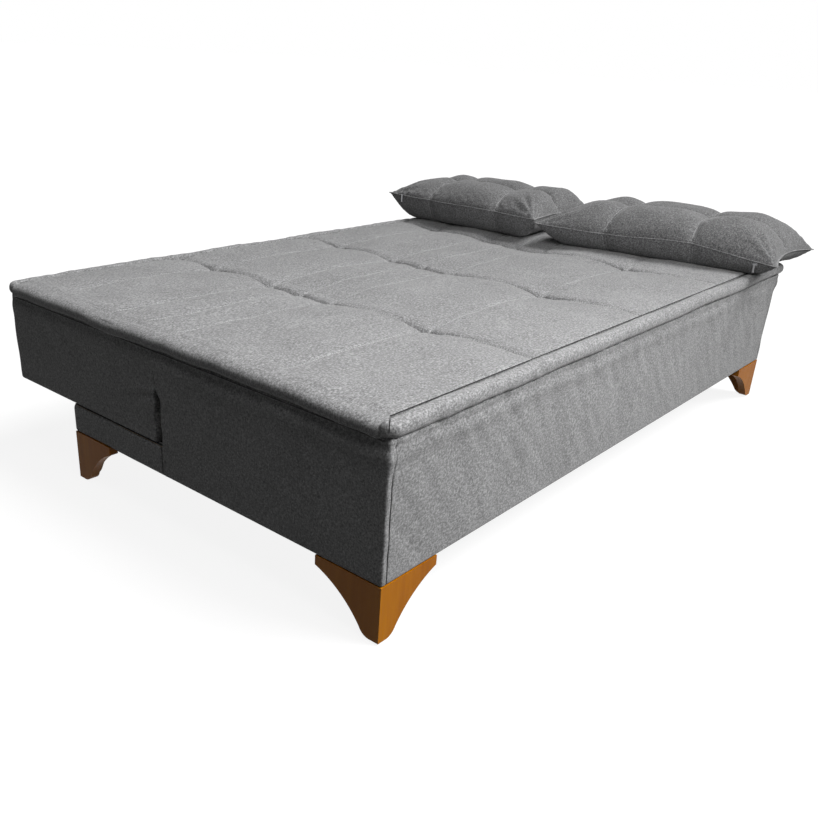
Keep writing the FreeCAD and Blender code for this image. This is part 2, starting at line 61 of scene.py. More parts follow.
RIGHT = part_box("seat_edge_roll")[1][0]
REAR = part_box("back_edge_roll")[1][1]
ROLL_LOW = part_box("seat_edge_roll")[0][2]
ROLL_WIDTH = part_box("seat_edge_roll")[1][2] - ROLL_LOW
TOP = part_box("seat_pad")[1][2]
BODY_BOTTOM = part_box("front_cover")[0][2]
LEDGE_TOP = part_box("ledge_top_cover")[1][2]
BASE_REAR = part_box("ledge_rear_cover")[1][1]
SEAT_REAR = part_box("seat_end_cover_left")[1][1]
BACK_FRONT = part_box("back_end_cover_left")[0][1]
BACK_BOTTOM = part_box("back_end_cover_left")[0][2]
PANEL_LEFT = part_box("seat_end_cover_left")[0][0]
PANEL_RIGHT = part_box("seat_end_cover_right")[1][0]
PANEL_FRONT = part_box("front_cover")[0][1]
PANEL_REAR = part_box("back_end_cover_left")[1][1]
HINGE = next(j for j in frame["joints"] if j["name"] == "backrest_recline")
PIVOT_Y, PIVOT_Z = HINGE["pos_m"][1:]

# Seams of the mattress top, as distances from its left end and its front edge.
CROSS_SEAMS = [LEFT + d for d in (0.479, 0.949, 1.419)]
LONG_SEAMS = [FRONT + d for d in (0.302, 0.589, 0.688, 0.788, 0.9955)]


# ---------------------------------------------------------------- helpers
def ripples(points, wavelength, seed, waves=9):
    """Soft, repeatable unevenness between about -1 and 1: a few plane waves in chance directions."""
    rng = np.random.default_rng(seed)
    flat = np.asarray(points, float).reshape(-1, points.shape[-1])
    total = np.zeros(len(flat))
    for _ in range(waves):
        direction = rng.normal(size=flat.shape[1])
        direction /= np.linalg.norm(direction)
        length = wavelength * rng.uniform(0.65, 1.6)
        total += np.sin(flat @ direction * 2 * math.pi / length + rng.uniform(0, 2 * math.pi))
    return (total / math.sqrt(waves)).reshape(points.shape[:-1])


def bell(distance, width):
    """A smooth bump: 1 at distance 0, and nearly 0 from twice the width on."""
    return np.exp(-(distance / width) ** 2)


def fade(distance, reach):
    """A pointed bump: 1 at distance 0, falling off steeply at first and then slowly."""
    return np.exp(-distance / reach)


def smoothstep(value, low, high):
    """0 up to the low value, 1 from the high value on, and a smooth rise between them."""
    t = np.clip((value - low) / (high - low), 0, 1)
    return t * t * (3 - 2 * t)


def along_path(points):
    """Distance of each point from the first one, measured along the path."""
    return np.concatenate([[0], np.cumsum(np.linalg.norm(np.diff(points, axis=0), axis=1))])


def grid_faces(rows, columns, wrap_rows=False, wrap_columns=False, offset=0):
    """Quads of a grid whose vertices are numbered row by row."""
    faces = []
    for i in range(rows if wrap_rows else rows - 1):
        for j in range(columns if wrap_columns else columns - 1):
            a = offset + i * columns + j
            b = offset + i * columns + (j + 1) % columns
            c = offset + ((i + 1) % rows) * columns + (j + 1) % columns
            d = offset + ((i + 1) % rows) * columns + j
            faces.append((a, b, c, d))
    return faces


def rim_numbers(rows, columns):
    """Vertex numbers round the edge of a grid, in order."""
    rim = [j for j in range(columns)]
    rim += [i * columns + columns - 1 for i in range(1, rows)]
    rim += [(rows - 1) * columns + j for j in range(columns - 2, -1, -1)]
    rim += [i * columns for i in range(rows - 2, 0, -1)]
    return rim


def wall(upper, lower):
    """Quads between two closed rings of vertex numbers."""
    faces = []
    for k in range(len(upper)):
        n = (k + 1) % len(upper)
        faces.append((upper[k], lower[k], lower[n], upper[n]))
    return faces


def sheet_faces(rows, columns):
    """Faces of a thin sheet: an outer grid, an inner one numbered after it, and the rim that joins them."""
    count = rows * columns
    rim = rim_numbers(rows, columns)
    faces = grid_faces(rows, columns)
    faces += [tuple(reversed(f)) for f in grid_faces(rows, columns, offset=count)]
    return faces + wall(rim, [count + v for v in rim])


def tube_faces(rings, around, first):
    """Faces of a tube made of rings of vertices, closed at both ends."""
    last = first + (rings - 1) * around
    faces = grid_faces(rings, around, wrap_columns=True, offset=first)
    faces.append(tuple(first + k for k in reversed(range(around))))
    faces.append(tuple(last + k for k in range(around)))
    return faces


def ring_round(spot, side, up, radius, around):
    """Points evenly round a spot, in the plane of two directions."""
    turns = [2 * math.pi * k / around for k in range(around)]
    return [spot + (side * math.cos(a) + up * math.sin(a)) * radius for a in turns]


def make_mesh(name, verts, faces, material):
    """A smooth-shaded mesh object in one material."""
    mesh = bpy.data.meshes.new(name)
    mesh.from_pydata([tuple(v) for v in np.asarray(verts, float)], [], faces)
    mesh.validate()
    mesh.shade_smooth()
    obj = bpy.data.objects.new(name, mesh)
    bpy.context.scene.collection.objects.link(obj)
    obj.data.materials.append(material)
    return obj


def weld(obj, distance=0.00005):
    """Joins vertices that lie on each other and turns all faces outward."""
    shape = bmesh.new()
    shape.from_mesh(obj.data)
    bmesh.ops.remove_doubles(shape, verts=shape.verts, dist=distance)
    bmesh.ops.recalc_face_normals(shape, faces=shape.faces)
    shape.to_mesh(obj.data)
    shape.free()
    obj.data.shade_smooth()


def belongs(obj, body=None, nodes=()):
    """A piece's body and the CAD nodes it stands for; with no body its place is baked into its mesh."""
    if body:
        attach(obj, body)
    else:
        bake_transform(obj)
    if nodes:
        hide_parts(*nodes)


CLOSEST_LINES = 0.0006    # grid lines nearer than this to the one before are left out


def thinned(lines, least, last):
    """Grid lines in order, each at least a step after the one before, with the last at its own place."""
    lines = sorted(lines)
    kept = [lines[0]]
    for value in lines[1:]:
        if value - kept[-1] > least:
            kept.append(value)
    kept[-1] = last
    return np.array(kept)


def beside(places, offsets):
    """Grid lines on both sides of each place."""
    return [place + side * offset for place in places for offset in offsets for side in (-1, 1)]


def refined(low, high, pitch, places, offsets):
    """Grid lines at an even pitch, with more of them close to the places given."""
    lines = list(np.linspace(low, high, int((high - low) / pitch) + 1)) + beside(places, offsets)
    return thinned([v for v in lines if low <= v <= high], CLOSEST_LINES, high)


def refined_with(lines, edges, offsets):
    """The grid lines given, with more of them close to the edges."""
    extra = [v for v in beside(edges, offsets) if lines[0] <= v <= lines[-1]]
    return thinned(list(lines) + extra, CLOSEST_LINES, lines[-1])


# ---------------------------------------------------------------- materials
def new_material(name):
    """A new node material: the material, its node tree, its shader and the object's own coordinates."""
    material = bpy.data.materials.new(name)
    material.use_nodes = True
    tree = material.node_tree
    place = tree.nodes.new("ShaderNodeTexCoord").outputs["Object"]
    return material, tree, tree.nodes["Principled BSDF"], place


def add_noise(tree, source, scale, detail=2.0, roughness=0.5, stretch=(1, 1, 1)):
    """Noise on the object's own coordinates, drawn out along an axis where its stretch is below 1."""
    mapping = tree.nodes.new("ShaderNodeMapping")
    mapping.inputs["Scale"].default_value = stretch
    tree.links.new(source, mapping.inputs["Vector"])
    noise = tree.nodes.new("ShaderNodeTexNoise")
    noise.inputs["Scale"].default_value = scale
    noise.inputs["Detail"].default_value = detail
    noise.inputs["Roughness"].default_value = roughness
    tree.links.new(mapping.outputs["Vector"], noise.inputs["Vector"])
    return noise.outputs["Fac"]


def math_node(tree, operation, a, b):
    """One sum or product of two sockets or numbers."""
    node = tree.nodes.new("ShaderNodeMath")
    node.operation = operation
    for socket, value in zip(node.inputs, (a, b)):
        if isinstance(value, (int, float)):
            socket.default_value = value
        else:
            tree.links.new(value, socket)
    return node.outputs[0]


def weighted(tree, parts):
    """The sum of sockets, each with its weight."""
    products = [math_node(tree, "MULTIPLY", socket, weight) for socket, weight in parts]
    total = products[0]
    for product in products[1:]:
        total = math_node(tree, "ADD", total, product)
    return total


def colour_ramp(tree, factor, stops):
    """Colour that runs through the stops as the factor goes from 0 to 1."""
    ramp = tree.nodes.new("ShaderNodeValToRGB")
    while len(ramp.color_ramp.elements) < len(stops):
        ramp.color_ramp.elements.new(0.5)
    for element, (place, colour) in zip(ramp.color_ramp.elements, stops):
        element.position = place
        element.color = (*colour, 1)
    tree.links.new(factor, ramp.inputs["Fac"])
    return ramp.outputs["Color"]


def vary_roughness(tree, shader, noise, roughness):
    """Roughness that wanders by a tenth to both sides of its mean."""
    rough = math_node(tree, "ADD", math_node(tree, "MULTIPLY", noise, 0.2), roughness - 0.1)
    tree.links.new(rough, shader.inputs["Roughness"])


def bump(tree, shader, height, strength, distance):
    """Fine surface relief on the shader."""
    node = tree.nodes.new("ShaderNodeBump")
    node.inputs["Strength"].default_value = strength
    node.inputs["Distance"].default_value = distance
    tree.links.new(height, node.inputs["Height"])
    tree.links.new(node.outputs["Normal"], shader.inputs["Normal"])


def grey(value):
    """A nearly neutral grey, a trace on the blue side."""
    return (value, value, value * 1.01)


def cloth_material(name, dark, middle, light):
    """Melange cloth: threads along all three directions, in darker and lighter yarns, with soft patches."""
    material, tree, shader, place = new_material(name)
    threads = []
    for stretch in ((0.3, 1, 1), (1, 0.3, 1), (1, 1, 0.3)):
        threads.append(add_noise(tree, place, 520, 1.5, 0.6, stretch))
    flecks = weighted(tree, [(thread, 1 / 3) for thread in threads])
    coarse = add_noise(tree, place, 330, 2.0, 0.6, (0.6, 0.8, 0.7))
    patches = add_noise(tree, place, 7.0, 3.0, 0.6)
    mixed = weighted(tree, [(flecks, 0.55), (coarse, 0.38), (patches, 0.07)])
    colour = colour_ramp(tree, mixed, [(0.405, dark), (0.5, middle), (0.595, light)])
    tree.links.new(colour, shader.inputs["Base Color"])
    shader.inputs["Roughness"].default_value = 0.92
    shader.inputs["Sheen Weight"].default_value = 0.25
    shader.inputs["Sheen Roughness"].default_value = 0.55
    shader.inputs["Specular IOR Level"].default_value = 0.18
    bump(tree, shader, mixed, 0.45, 0.0009)
    return material


def wood_material(name, dark, middle, light, roughness, coat):
    """Straight-grained wood: long streaks up and down the board, bent a little, with fine pores."""
    material, tree, shader, place = new_material(name)
    streaks = add_noise(tree, place, 60, 4.0, 0.6, (1.0, 1.0, 0.09))
    wide = add_noise(tree, place, 11, 3.0, 0.55, (1.0, 1.0, 0.25))
    pores = add_noise(tree, place, 420, 2.0, 0.6, (1.0, 1.0, 0.06))
    mixed = weighted(tree, [(streaks, 0.4), (wide, 0.5), (pores, 0.10)])
    colour = colour_ramp(tree, mixed, [(0.30, dark), (0.5, middle), (0.72, light)])
    tree.links.new(colour, shader.inputs["Base Color"])
    vary_roughness(tree, shader, pores, roughness)
    shader.inputs["Coat Weight"].default_value = coat
    shader.inputs["Coat Roughness"].default_value = 0.3
    shader.inputs["Specular IOR Level"].default_value = 0.07
    bump(tree, shader, pores, 0.25, 0.0006)
    return material


def metal_material(name, colour, roughness):
    """Plated steel with fine brushed streaks and slightly cloudy reflections."""
    material, tree, shader, place = new_material(name)
    streaks = add_noise(tree, place, 900, 2.0, 0.6, (1.0, 0.15, 1.0))
    clouds = add_noise(tree, place, 60, 3.0, 0.6)
    lighter = tuple(min(1.0, c * 1.15) for c in colour)
    darker = tuple(c * 0.8 for c in colour)
    tree.links.new(colour_ramp(tree, clouds, [(0.35, darker), (0.65, lighter)]), shader.inputs["Base Color"])
    shader.inputs["Metallic"].default_value = 1.0
    vary_roughness(tree, shader, clouds, roughness)
    bump(tree, shader, streaks, 0.2, 0.0003)
    return material


def matte_material(name, dark, light, scale, roughness, depth):
    """A plain matte stuff, such as foam, lining or nylon, with its own grain."""
    material, tree, shader, place = new_material(name)
    grain = add_noise(tree, place, scale, 3.0, 0.6)
    tree.links.new(colour_ramp(tree, grain, [(0.35, dark), (0.65, light)]), shader.inputs["Base Color"])
    shader.inputs["Roughness"].default_value = roughness
    bump(tree, shader, grain, 0.4, depth)
    return material


CLOTH = cloth_material("sofa_cloth", grey(0.115), grey(0.225), grey(0.40))
PILLOW_CLOTH = cloth_material("pillow_cloth", grey(0.074), grey(0.155), grey(0.29))
THREAD = matte_material("stitch_thread", grey(0.34), grey(0.60), 500, 0.8, 0.0003)
LEG_WOOD = wood_material("stained_leg_wood", (0.30, 0.088, 0.0008), (0.41, 0.136, 0.0013),
                         (0.50, 0.182, 0.0024), 0.45, 0.02)
FRAME_WOOD = wood_material("frame_wood", (0.34, 0.20, 0.09), (0.55, 0.37, 0.19),
                           (0.70, 0.52, 0.31), 0.75, 0.0)
STEEL = metal_material("hinge_steel", (0.32, 0.32, 0.33), 0.42)
SCREW_METAL = metal_material("zinc_screws", (0.55, 0.55, 0.53), 0.35)
ZIP_METAL = metal_material("zip_metal", (0.34, 0.34, 0.35), 0.34)
# Near-black stuff for the cords that paint the shade in seams, joints and grooves.
SEAM_SHADE = matte_material("seam_shade", grey(0.018), grey(0.03), 500, 0.95, 0.0002)
LINING = matte_material("lining_cloth", grey(0.012), grey(0.035), 700, 0.95, 0.0004)
FOAM = matte_material("foam", (0.62, 0.56, 0.38), (0.78, 0.72, 0.52), 500, 0.95, 0.001)
WEBBING = matte_material("webbing", grey(0.03), grey(0.09), 400, 0.9, 0.0006)
NYLON = matte_material("glide_plastic", grey(0.02), grey(0.035), 300, 0.6, 0.0002)
SLOT_MATERIALS = {
    "sofa_cloth": CLOTH,
    "pillow_cloth": PILLOW_CLOTH,
    "stained_leg_wood": LEG_WOOD,
    "frame_wood": FRAME_WOOD,
    "hinge_steel": STEEL,
    "zinc_screws": SCREW_METAL,
    "zip_metal": ZIP_METAL,
    "lining_cloth": LINING,
    "foam": FOAM,
    "webbing": WEBBING,
    "glide_plastic": NYLON,
}


def paint_cad_nodes():
    """Every part keeps its CAD shape until a visible piece replaces it, in the material of its slot."""
    for part in frame["record"]["subparts"]:
        obj = frame["nodes"][part["node"]]
        obj.data.materials.clear()
        obj.data.materials.append(SLOT_MATERIALS[part["material_slot"]])


# ---------------------------------------------------------------- mattress
PANEL_EDGE = 0.0295       # from the outside of the roll in to the seam of the top panel
ROLL_RADIUS = ROLL_WIDTH / 2
CROWN = 0.0025            # how far the padding stands above the plain pad
OUTER_ROWS = (0, 4)       # the tufts of the first and last row are pulled down fully
INNER_TUFT = 0.75         # and the others this much of that
WRAP_ANGLE = 2.5          # at the left end the top cloth runs on round the roll, this far (radians)
WRAP_ACROSS = 0.030       # where it starts to turn down, from the left end
WRAP_PITCH = 0.0235       # cloth used for one radian of that turn
CORNER_RUN = 0.0050       # how much further than the top panel the wrapped part runs, to both corners
END_DIVE = 0.0045         # how far the wrapped cloth sinks into the roll at both of its ends


def edge_drop(x, y):
    """How far the top panel turns down beside the roll's seam."""
    sides = (
        ((RIGHT - PANEL_EDGE) - x, 0.005, 0.005),
        (y - (FRONT + PANEL_EDGE), 0.006, 0.0016),
        ((REAR - PANEL_EDGE) - y, 0.006, 0.005),
    )
    drop = 0.0035 * fade(np.maximum(x - (LEFT + WRAP_ACROSS), 0), 0.03)
    for distance, depth, reach in sides:
        drop += depth * fade(np.maximum(distance, 0), reach)
        drop += 0.004 * fade(np.maximum(distance, 0), 0.045)
    return drop


def tuft_relief(dx, dy, turn):
    """Around a tuft: a round dimple, and creases with soft lips that run out of it both ways."""
    away = np.hypot(dx, dy)
    relief = -(0.0110 * bell(away, 0.095) + 0.0125 * fade(away, 0.019))
    bowed = dy - 0.10 * np.abs(dx) - 0.05 * turn * dx
    relief -= 0.0045 * fade(np.abs(dx), 0.055) * bell(bowed, 0.006)
    relief += 0.0034 * fade(np.abs(dx), 0.11) * bell(bowed + 0.016, 0.012)
    relief += 0.0014 * fade(np.abs(dx), 0.07) * bell(bowed - 0.018, 0.014)
    slant = dx - 0.06 * np.abs(dy)
    relief -= 0.0052 * fade(np.abs(dy), 0.080) * bell(slant, 0.0034)
    relief += 0.0030 * fade(np.abs(dy), 0.09) * bell(slant - 0.017, 0.012)
    return relief


def top_height(x, y):
    """Height of the mattress top: cells that crown between their seams, and dimples at the tufts."""
    height = np.full_like(x, TOP + CROWN)
    near_x = np.min([np.abs(x - seam) for seam in CROSS_SEAMS], axis=0)
    near_y = np.min([np.abs(y - seam) for seam in LONG_SEAMS], axis=0)
    inside = smoothstep(x - LEFT, WRAP_ACROSS, 0.09)
    # The cells slope down towards their seams, and the sewn lines themselves are narrow grooves.
    height -= 0.0034 * fade(near_x, 0.026) + 0.0044 * fade(near_y, 0.020) * inside
    height -= 0.0046 * fade(near_x, 0.0040) + 0.0012 * bell(near_y, 0.003) * inside
    for row, seam_y in enumerate(LONG_SEAMS):
        for column, seam_x in enumerate(CROSS_SEAMS):
            turn = 0.35 * math.sin(3.1 * row + 1.7 * column)
            deep = 1.0 if row in OUTER_ROWS else INNER_TUFT
            height += deep * tuft_relief(x - seam_x, y - seam_y, turn)
    points = np.stack([x, y], -1)
    for depth, wavelength, seed in ((0.0018, 0.26, 11), (0.0007, 0.085, 12), (0.00022, 0.028, 13)):
        height += depth * ripples(points, wavelength, seed)
    height -= 0.003 * bell(y - PIVOT_Y, 0.03)
    # A shallow groove and a soft swelling follow the left end, where the cloth starts to turn down.
    from_turn = x - (LEFT + WRAP_ACROSS)
    height += 0.0016 * bell(from_turn - 0.014, 0.008) - 0.0022 * bell(from_turn - 0.004, 0.0028)
    return height - edge_drop(x, y)


def wrapped(reach, y, inset):
    """Places on the top cloth; where its reach from the left end is short, it runs round the roll."""
    x = LEFT + np.maximum(reach, WRAP_ACROSS)
    on_end = 1 - smoothstep(reach, WRAP_ACROSS, 0.10)
    sag = 0.004 * bell(y - (FRONT + 0.73), 0.09)
    z = top_height(x, y) + on_end * (0.0022 * ripples(y[..., None], 0.34, 15) - sag)
    angle = np.clip((WRAP_ACROSS - reach) / WRAP_PITCH, 0, WRAP_ANGLE)
    width = np.where(angle < math.pi / 2, WRAP_ACROSS, ROLL_RADIUS)
    to_end = np.minimum(y - FRONT, REAR - y) - PANEL_EDGE
    inset = inset + END_DIVE * (1 - smoothstep(to_end, 0, 0.008)) * smoothstep(angle, 0.2, 0.9)
    round_x = LEFT + width - (width - inset) * np.sin(angle)
    round_z = z - ROLL_RADIUS + (ROLL_RADIUS - inset) * np.cos(angle)
    on_roll = angle > 0
    to_corner = smoothstep(angle, 0, 0.8) * CORNER_RUN
    y = y - to_corner * (1 - smoothstep(y, FRONT + PANEL_EDGE, FRONT + 0.12))
    y = y + to_corner * smoothstep(y, REAR - 0.12, REAR - PANEL_EDGE)
    return np.stack([np.where(on_roll, round_x, x), y, np.where(on_roll, round_z, z)], -1)


def make_mattress():
    """The tufted top cover: it wraps the roll at the left end and tucks down inside the other three."""
    fine = (0.0015, 0.0035, 0.006, 0.010, 0.015)
    right = RIGHT - PANEL_EDGE
    front, rear = FRONT + PANEL_EDGE, REAR - PANEL_EDGE
    edge_offsets = (0.001, 0.0025, 0.0045, 0.007, 0.011, 0.017)
    xs = refined(LEFT + WRAP_ACROSS, right, 0.0085, CROSS_SEAMS, fine)
    xs = refined_with(xs, [right], edge_offsets)
    start = WRAP_ACROSS - WRAP_PITCH * WRAP_ANGLE
    reaches = np.concatenate([np.linspace(start, WRAP_ACROSS, 20)[:-1], xs - LEFT])
    ys = refined(front, rear, 0.0075, LONG_SEAMS, fine)
    ys = refined_with(ys, [front, rear], edge_offsets)
    reach, gy = np.meshgrid(reaches, ys)
    top = wrapped(reach, gy, 0.0)
    inside = wrapped(reach, gy, 0.003)
    flat = reach >= WRAP_ACROSS - 0.0001
    inside[..., 2] = np.where(flat, TOP - 0.022, inside[..., 2])
    rows, columns = reach.shape
    verts = top.reshape(-1, 3)
    inside = inside.reshape(-1, 3)
    flat = flat.reshape(-1)
    faces = grid_faces(rows, columns)
    rim = rim_numbers(rows, columns)
    rings = [rim]
    for depth in (0.006, 0.014, 0.022):
        ring = verts[rim].copy()
        ring[:, 2] = np.minimum(ring[:, 2] - 0.002, TOP - depth)
        ring = np.where(flat[rim][:, None], ring, inside[rim])
        start = len(verts)
        verts = np.vstack([verts, ring])
        rings.append(list(range(start, start + len(rim))))
    for upper, lower in zip(rings, rings[1:]):
        faces += wall(upper, lower)
    start = len(verts)
    verts = np.vstack([verts, inside])
    faces += [tuple(reversed(f)) for f in grid_faces(rows, columns, offset=start)]
    cover = make_mesh("mattress_cover", verts, faces, CLOTH)
    weld(cover)
    belongs(cover, nodes=("seat_pad", "back_pad"))


# ---------------------------------------------------------------- roll round the edge
def rounded_path(corners, radius, pitch):
    """Points and outward directions along a closed rectangle with rounded corners, anticlockwise."""
    (x0, y0), (x1, y1) = corners
    points = []
    normals = []
    sides = [
        ((x0 + radius, y0), (x1 - radius, y0), (0, -1), (x1 - radius, y0 + radius), -90),
        ((x1, y0 + radius), (x1, y1 - radius), (1, 0), (x1 - radius, y1 - radius), 0),
        ((x1 - radius, y1), (x0 + radius, y1), (0, 1), (x0 + radius, y1 - radius), 90),
        ((x0, y1 - radius), (x0, y0 + radius), (-1, 0), (x0 + radius, y0 + radius), 180),
    ]
    for start, end, normal, centre, angle in sides:
        start, end = np.array(start), np.array(end)
        count = max(2, int(np.linalg.norm(end - start) / pitch))
        for k in range(count):
            points.append(start + (end - start) * k / count)
            normals.append(normal)
        for k in range(7):
            a = math.radians(angle + 90 * k / 7)
            normals.append((math.cos(a), math.sin(a)))
            points.append(np.array(centre) + radius * np.array(normals[-1]))
    return np.array(points), np.array(normals, float)


def make_edge_roll():
    """The stuffed roll, flattened on its inner side; gives back its outline at the near left corner."""
    half = ROLL_RADIUS
    path, out = rounded_path(((LEFT + half, FRONT + half), (RIGHT - half, REAR - half)), 0.008, 0.006)
    along = along_path(path)
    steps = 30
    swell = 1 + 0.04 * ripples(along[:, None], 0.30, 21) + 0.02 * ripples(along[:, None], 0.07, 22)
    lift = 0.0015 * ripples(along[:, None], 0.42, 23)
    covered = PANEL_EDGE - CORNER_RUN + 0.004
    under_wrap = (path[:, 0] < LEFT + half + 0.0001) & (path[:, 1] > FRONT + covered)
    under_wrap &= path[:, 1] < REAR - covered
    swell = np.where(under_wrap, 0.74, swell)
    lift = np.where(under_wrap, -0.0030, lift)
    verts = []
    for k, (point, normal) in enumerate(zip(path, out)):
        corner = min(np.linalg.norm(point - np.array(c)) for c in
                     ((LEFT, FRONT), (RIGHT, FRONT), (RIGHT, REAR), (LEFT, REAR)))
        radius = half * swell[k] * (1 - 0.10 * bell(corner - 0.02, 0.012))
        for step in range(steps):
            a = 2 * math.pi * step / steps
            reach = math.cos(a)
            rise = math.sin(a)
            across = radius * reach ** 0.85 if reach > 0 else -radius * 0.62 * abs(reach) ** 0.5
            up = 0.98 * radius * (abs(rise) ** 0.9) * (1 if rise > 0 else -1)
            verts.append((point[0] + normal[0] * across, point[1] + normal[1] * across,
                          ROLL_LOW + half + lift[k] + up))
    verts = np.array(verts)
    pucker = ripples(np.column_stack([np.repeat(along, steps), np.tile(np.arange(steps), len(path)) * 0.002]),
                     0.024, 24)
    centre = np.repeat(np.column_stack([path, np.full(len(path), ROLL_LOW + half)]), steps, axis=0)
    direction = verts - centre
    direction /= np.linalg.norm(direction, axis=1)[:, None]
    verts += direction * (0.00035 * pucker)[:, None]
    verts[:, 0] = np.clip(verts[:, 0], LEFT - 0.004, RIGHT + 0.004)
    faces = grid_faces(len(path), steps, wrap_rows=True, wrap_columns=True)
    roll = make_mesh("edge_roll", verts, faces, CLOTH)
    weld(roll)
    belongs(roll, nodes=("seat_edge_roll", "back_edge_roll"))
    corner = np.argmin(np.linalg.norm(path - path.min(axis=0), axis=1))
    return verts.reshape(len(path), steps, 3)[corner, :steps // 2 + 1]


# ---------------------------------------------------------------- covers round the sides
def bent_path(points, radii, pitch):
    """An open path through points with rounded corners: places and outward directions (to the right)."""
    points = [np.array(p, float) for p in points]
    places = []
    for k in range(len(points)):
        if k == 0 or k == len(points) - 1:
            places.append(points[k])
            continue
        before = points[k - 1] - points[k]
        after = points[k + 1] - points[k]
        before /= np.linalg.norm(before)
        after /= np.linalg.norm(after)
        radius = radii[k - 1]
        start = points[k] + before * radius
        end = points[k] + after * radius
        for t in np.linspace(0, 1, 8):
            places.append((1 - t) ** 2 * start + 2 * t * (1 - t) * points[k] + t ** 2 * end)
    dense = [places[0]]
    for a, b in zip(places, places[1:]):
        count = max(1, int(math.ceil(np.linalg.norm(b - a) / pitch)))
        for i in range(1, count + 1):
            dense.append(a + (b - a) * i / count)
    dense = np.array(dense)
    tangent = np.gradient(dense, axis=0)
    tangent /= np.linalg.norm(tangent, axis=1)[:, None]
    return dense, np.column_stack([tangent[:, 1], -tangent[:, 0]])


DEEPEST_DENT = -0.0021    # the covers lie on boards, so no dent goes deeper than this
CLOTH_THICK = 0.0016


def make_skirt(name, path, out, profile, shape, body, nodes, seams=(), closing=None):
    """Cloth wrapped round the sides: a path in plan, an upright profile, a relief, and seams near places."""
    along = along_path(path)
    seams = [along[np.argmin(np.linalg.norm(path - np.array(near), axis=1))] for near in seams]
    lines = np.unique(np.concatenate([along, seams + beside(seams, (0.0012, 0.0025, 0.005))]))
    path_x, path_y, out_x, out_y = [np.interp(lines, along, values)[:, None] for values in (*path.T, *out.T)]
    length = np.hypot(out_x, out_y)
    out_x, out_y = out_x / length, out_y / length
    inward, height = np.array(profile).T
    s, z = np.meshgrid(lines, height, indexing="ij")
    x = path_x - out_x * inward
    y = path_y - out_y * inward
    relief = shape(s, x, y, z)
    for place in seams:
        relief -= 0.0018 * bell(s - place, 0.0011)
    relief = np.where(z < ROLL_LOW - 0.002, np.maximum(relief, DEEPEST_DENT), relief)
    x = x + out_x * relief
    y = y + out_y * relief
    if closing:
        y = y + closing(y, z)
    outer = np.stack([x, y, z], -1).reshape(-1, 3)
    inner = np.stack([x - out_x * CLOTH_THICK, y - out_y * CLOTH_THICK, z], -1).reshape(-1, 3)
    skirt = make_mesh(name, np.vstack([outer, inner]), sheet_faces(*z.shape), CLOTH)
    weld(skirt)
    belongs(skirt, body, nodes)


def upright_profile(bottom, top, tuck_bottom, tuck_top, round_low=0.006):
    """Inward distance and height, from the edge tucked under to the edge tucked under the roll."""
    profile = [(tuck_bottom, bottom + 0.0004), (round_low * 1.2, bottom + 0.0004)]
    for k in range(1, 6):
        a = math.pi / 2 * k / 5
        profile.append((round_low * (1 - math.sin(a)), bottom + round_low * (1 - math.cos(a))))
    start = bottom + round_low
    end = top - 0.012
    count = max(3, int((end - start) / 0.007))
    profile += [(0.0, start + (end - start) * k / count) for k in range(1, count + 1)]
    profile += [(0.0005, top - 0.008), (0.002, top - 0.004), (tuck_top, top)]
    return profile


def side_relief(seed, swell):
    """Soft cloth unevenness, a swelling below the roll and a waisted line under it."""
    def shape(s, x, y, z):
        flat = np.stack([s, z], -1)
        height = (z - z.min()) / (z.max() - z.min())
        calm = smoothstep(height, 0.0, 0.12)
        relief = 0.0011 * ripples(flat, 0.22, seed) * calm
        slanted = np.stack([s + 0.8 * z, 0.35 * z], -1)
        relief += 0.0006 * ripples(slanted, 0.06, seed + 1) * calm
        wave = 0.003 * ripples(s[..., None], 0.35, seed + 2)
        line = ROLL_LOW - 0.012 + wave
        relief -= swell * 0.5 * bell(z - line, 0.006)
        relief += swell * bell(z - (line - 0.020), 0.016)
        return relief
    return shape


def above_slot(z):
    """1 where the covers of seat and back meet, above the slot, and 0 in the slot."""
    return smoothstep(z, BACK_BOTTOM + 0.100, BACK_BOTTOM + 0.122)


def make_seat_skirt():
    """The cover round the seat: front, both ends, and tucked in behind them."""
    left, right, front = PANEL_LEFT, PANEL_RIGHT, PANEL_FRONT
    tuck = 0.027
    end = SEAT_REAR - 0.0015
    points = [(left + tuck, end), (left, end), (left, front),
              (right, front), (right, end), (right - tuck, end)]
    path, out = bent_path(points, [0.003, 0.005, 0.005, 0.003], 0.008)
    out = -out if out[len(out) // 2][1] > 0 else out
    base = side_relief(31, 0.0050)

    def shape(s, x, y, z):
        relief = base(s, x, y, z)
        dent = bell(x - (left + 1.43), 0.012) * bell(z - (ROLL_LOW - 0.012), 0.006)
        on_front = 1 - smoothstep(y, front, front + 0.010)
        return relief - 0.003 * dent + 0.0050 * on_front * bell(z - (ROLL_LOW - 0.004), 0.012)

    def closing(y, z):
        """Above the slot the seat's cover reaches back to the crease."""
        return (PIVOT_Y - 0.0008 - end) * smoothstep(y, end - 0.03, end) * above_slot(z)

    profile = upright_profile(BODY_BOTTOM, ROLL_LOW + 0.006, 0.018, 0.012)
    make_skirt("seat_skirt", path, out, profile, shape, "base",
               ["front_cover", "seat_end_cover_left", "seat_end_cover_right"],
               [(left + 0.013, front), (right - 0.013, front)], closing)


